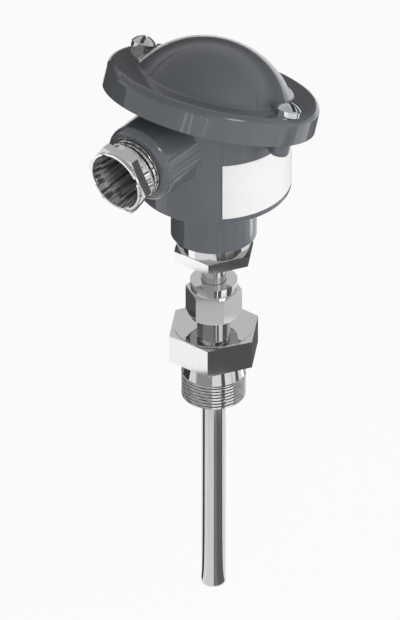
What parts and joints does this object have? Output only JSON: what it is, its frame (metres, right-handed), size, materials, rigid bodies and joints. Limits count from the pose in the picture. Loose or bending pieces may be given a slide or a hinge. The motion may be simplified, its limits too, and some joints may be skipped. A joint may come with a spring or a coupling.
{
  "type": "resistance temperature probe",
  "caption": "Resistance temperature probe: die-cast connection head with tilted domed lid, cable entry, neck fitting, union nut, hexagon process thread and a long thin protection tube.",
  "frame": {"origin": "on the probe's axis, at the sealing face under the process hexagon", "axes": "+Z along the probe towards the head; the cable entry points to -X and the label faces -Y; units are metres"},
  "size_m": [0.0829, 0.07, 0.2084],
  "materials": {
    "painted_casting": "gloss grey paint over die-cast aluminium",
    "stainless": "turned bright",
    "stainless_tube": "drawn, satin",
    "nickel_brass": "nickel plated, bright",
    "zinc_screw": "zinc plated",
    "label_white": "matte white film",
    "seal_rubber": "matte",
    "brass": "machined",
    "block_ceramic": "unglazed",
    "filling": "packed mineral powder",
    "element_ceramic": "glazed",
    "spring_steel": "drawn wire",
    "wire_nickel": "bare wire"
  },
  "bodies": {
    "head": {"head_housing": "painted_casting", "label": "label_white", "gland_thrust_ring_outer": "zinc_screw", "gland_seal": "seal_rubber", "gland_thrust_ring_inner": "zinc_screw", "neck_fitting": "stainless", "ferrule": "stainless", "process_fitting": "stainless", "protection_tube": "stainless_tube", "tube_plug": "stainless_tube", "insert_screw_front": "zinc_screw", "insert_screw_back": "zinc_screw", "insert_spring_front": "spring_steel", "insert_spring_back": "spring_steel"},
    "lid": {"lid": "painted_casting", "lid_gasket": "seal_rubber"},
    "lid_screw_front": {"lid_screw_front": "zinc_screw"},
    "lid_screw_back": {"lid_screw_back": "zinc_screw"},
    "gland_screw": {"gland_screw": "nickel_brass"},
    "union_nut": {"union_nut": "stainless"},
    "insert": {"insert_plate": "zinc_screw", "terminal_block": "block_ceramic", "terminal_1": "brass", "terminal_2": "brass", "terminal_3": "brass", "terminal_4": "brass", "terminal_screws": "zinc_screw", "block_screws": "zinc_screw", "earth_washer": "zinc_screw", "earth_screw": "zinc_screw", "insert_sheath": "stainless_tube", "insert_filling": "filling", "rtd_element": "element_ceramic", "lead_wires": "wire_nickel"}
  },
  "joints": [
    {"name": "lid_lift", "type": "slide", "parent": "head", "child": "lid", "axis": [0.342, 0, 0.9397], "range_m": [0, 0.035]},
    {"name": "lid_screw_front_turn", "type": "hinge", "parent": "lid", "child": "lid_screw_front", "pos_m": [0.00056, -0.03061, 0.10369], "axis": [0.342, 0, 0.9397], "continuous": true},
    {"name": "lid_screw_back_turn", "type": "hinge", "parent": "lid", "child": "lid_screw_back", "pos_m": [0.00056, 0.03061, 0.10369], "axis": [0.342, 0, 0.9397], "continuous": true},
    {"name": "gland_screw_turn", "type": "hinge", "parent": "head", "child": "gland_screw", "pos_m": [-0.04, 0, 0.0894], "axis": [-0.9962, 0, -0.0872], "continuous": true},
    {"name": "union_nut_turn", "type": "hinge", "parent": "head", "child": "union_nut", "pos_m": [0, 0, 0.022], "axis": [0, 0, 1], "continuous": true},
    {"name": "insert_slide", "type": "slide", "parent": "head", "child": "insert", "axis": [0, 0, 1], "range_m": [0, 0.007], "stiffness_N_per_m": 1600, "springref_m": -0.002, "deforming": ["insert_spring_front", "insert_spring_back"]}
  ]
}
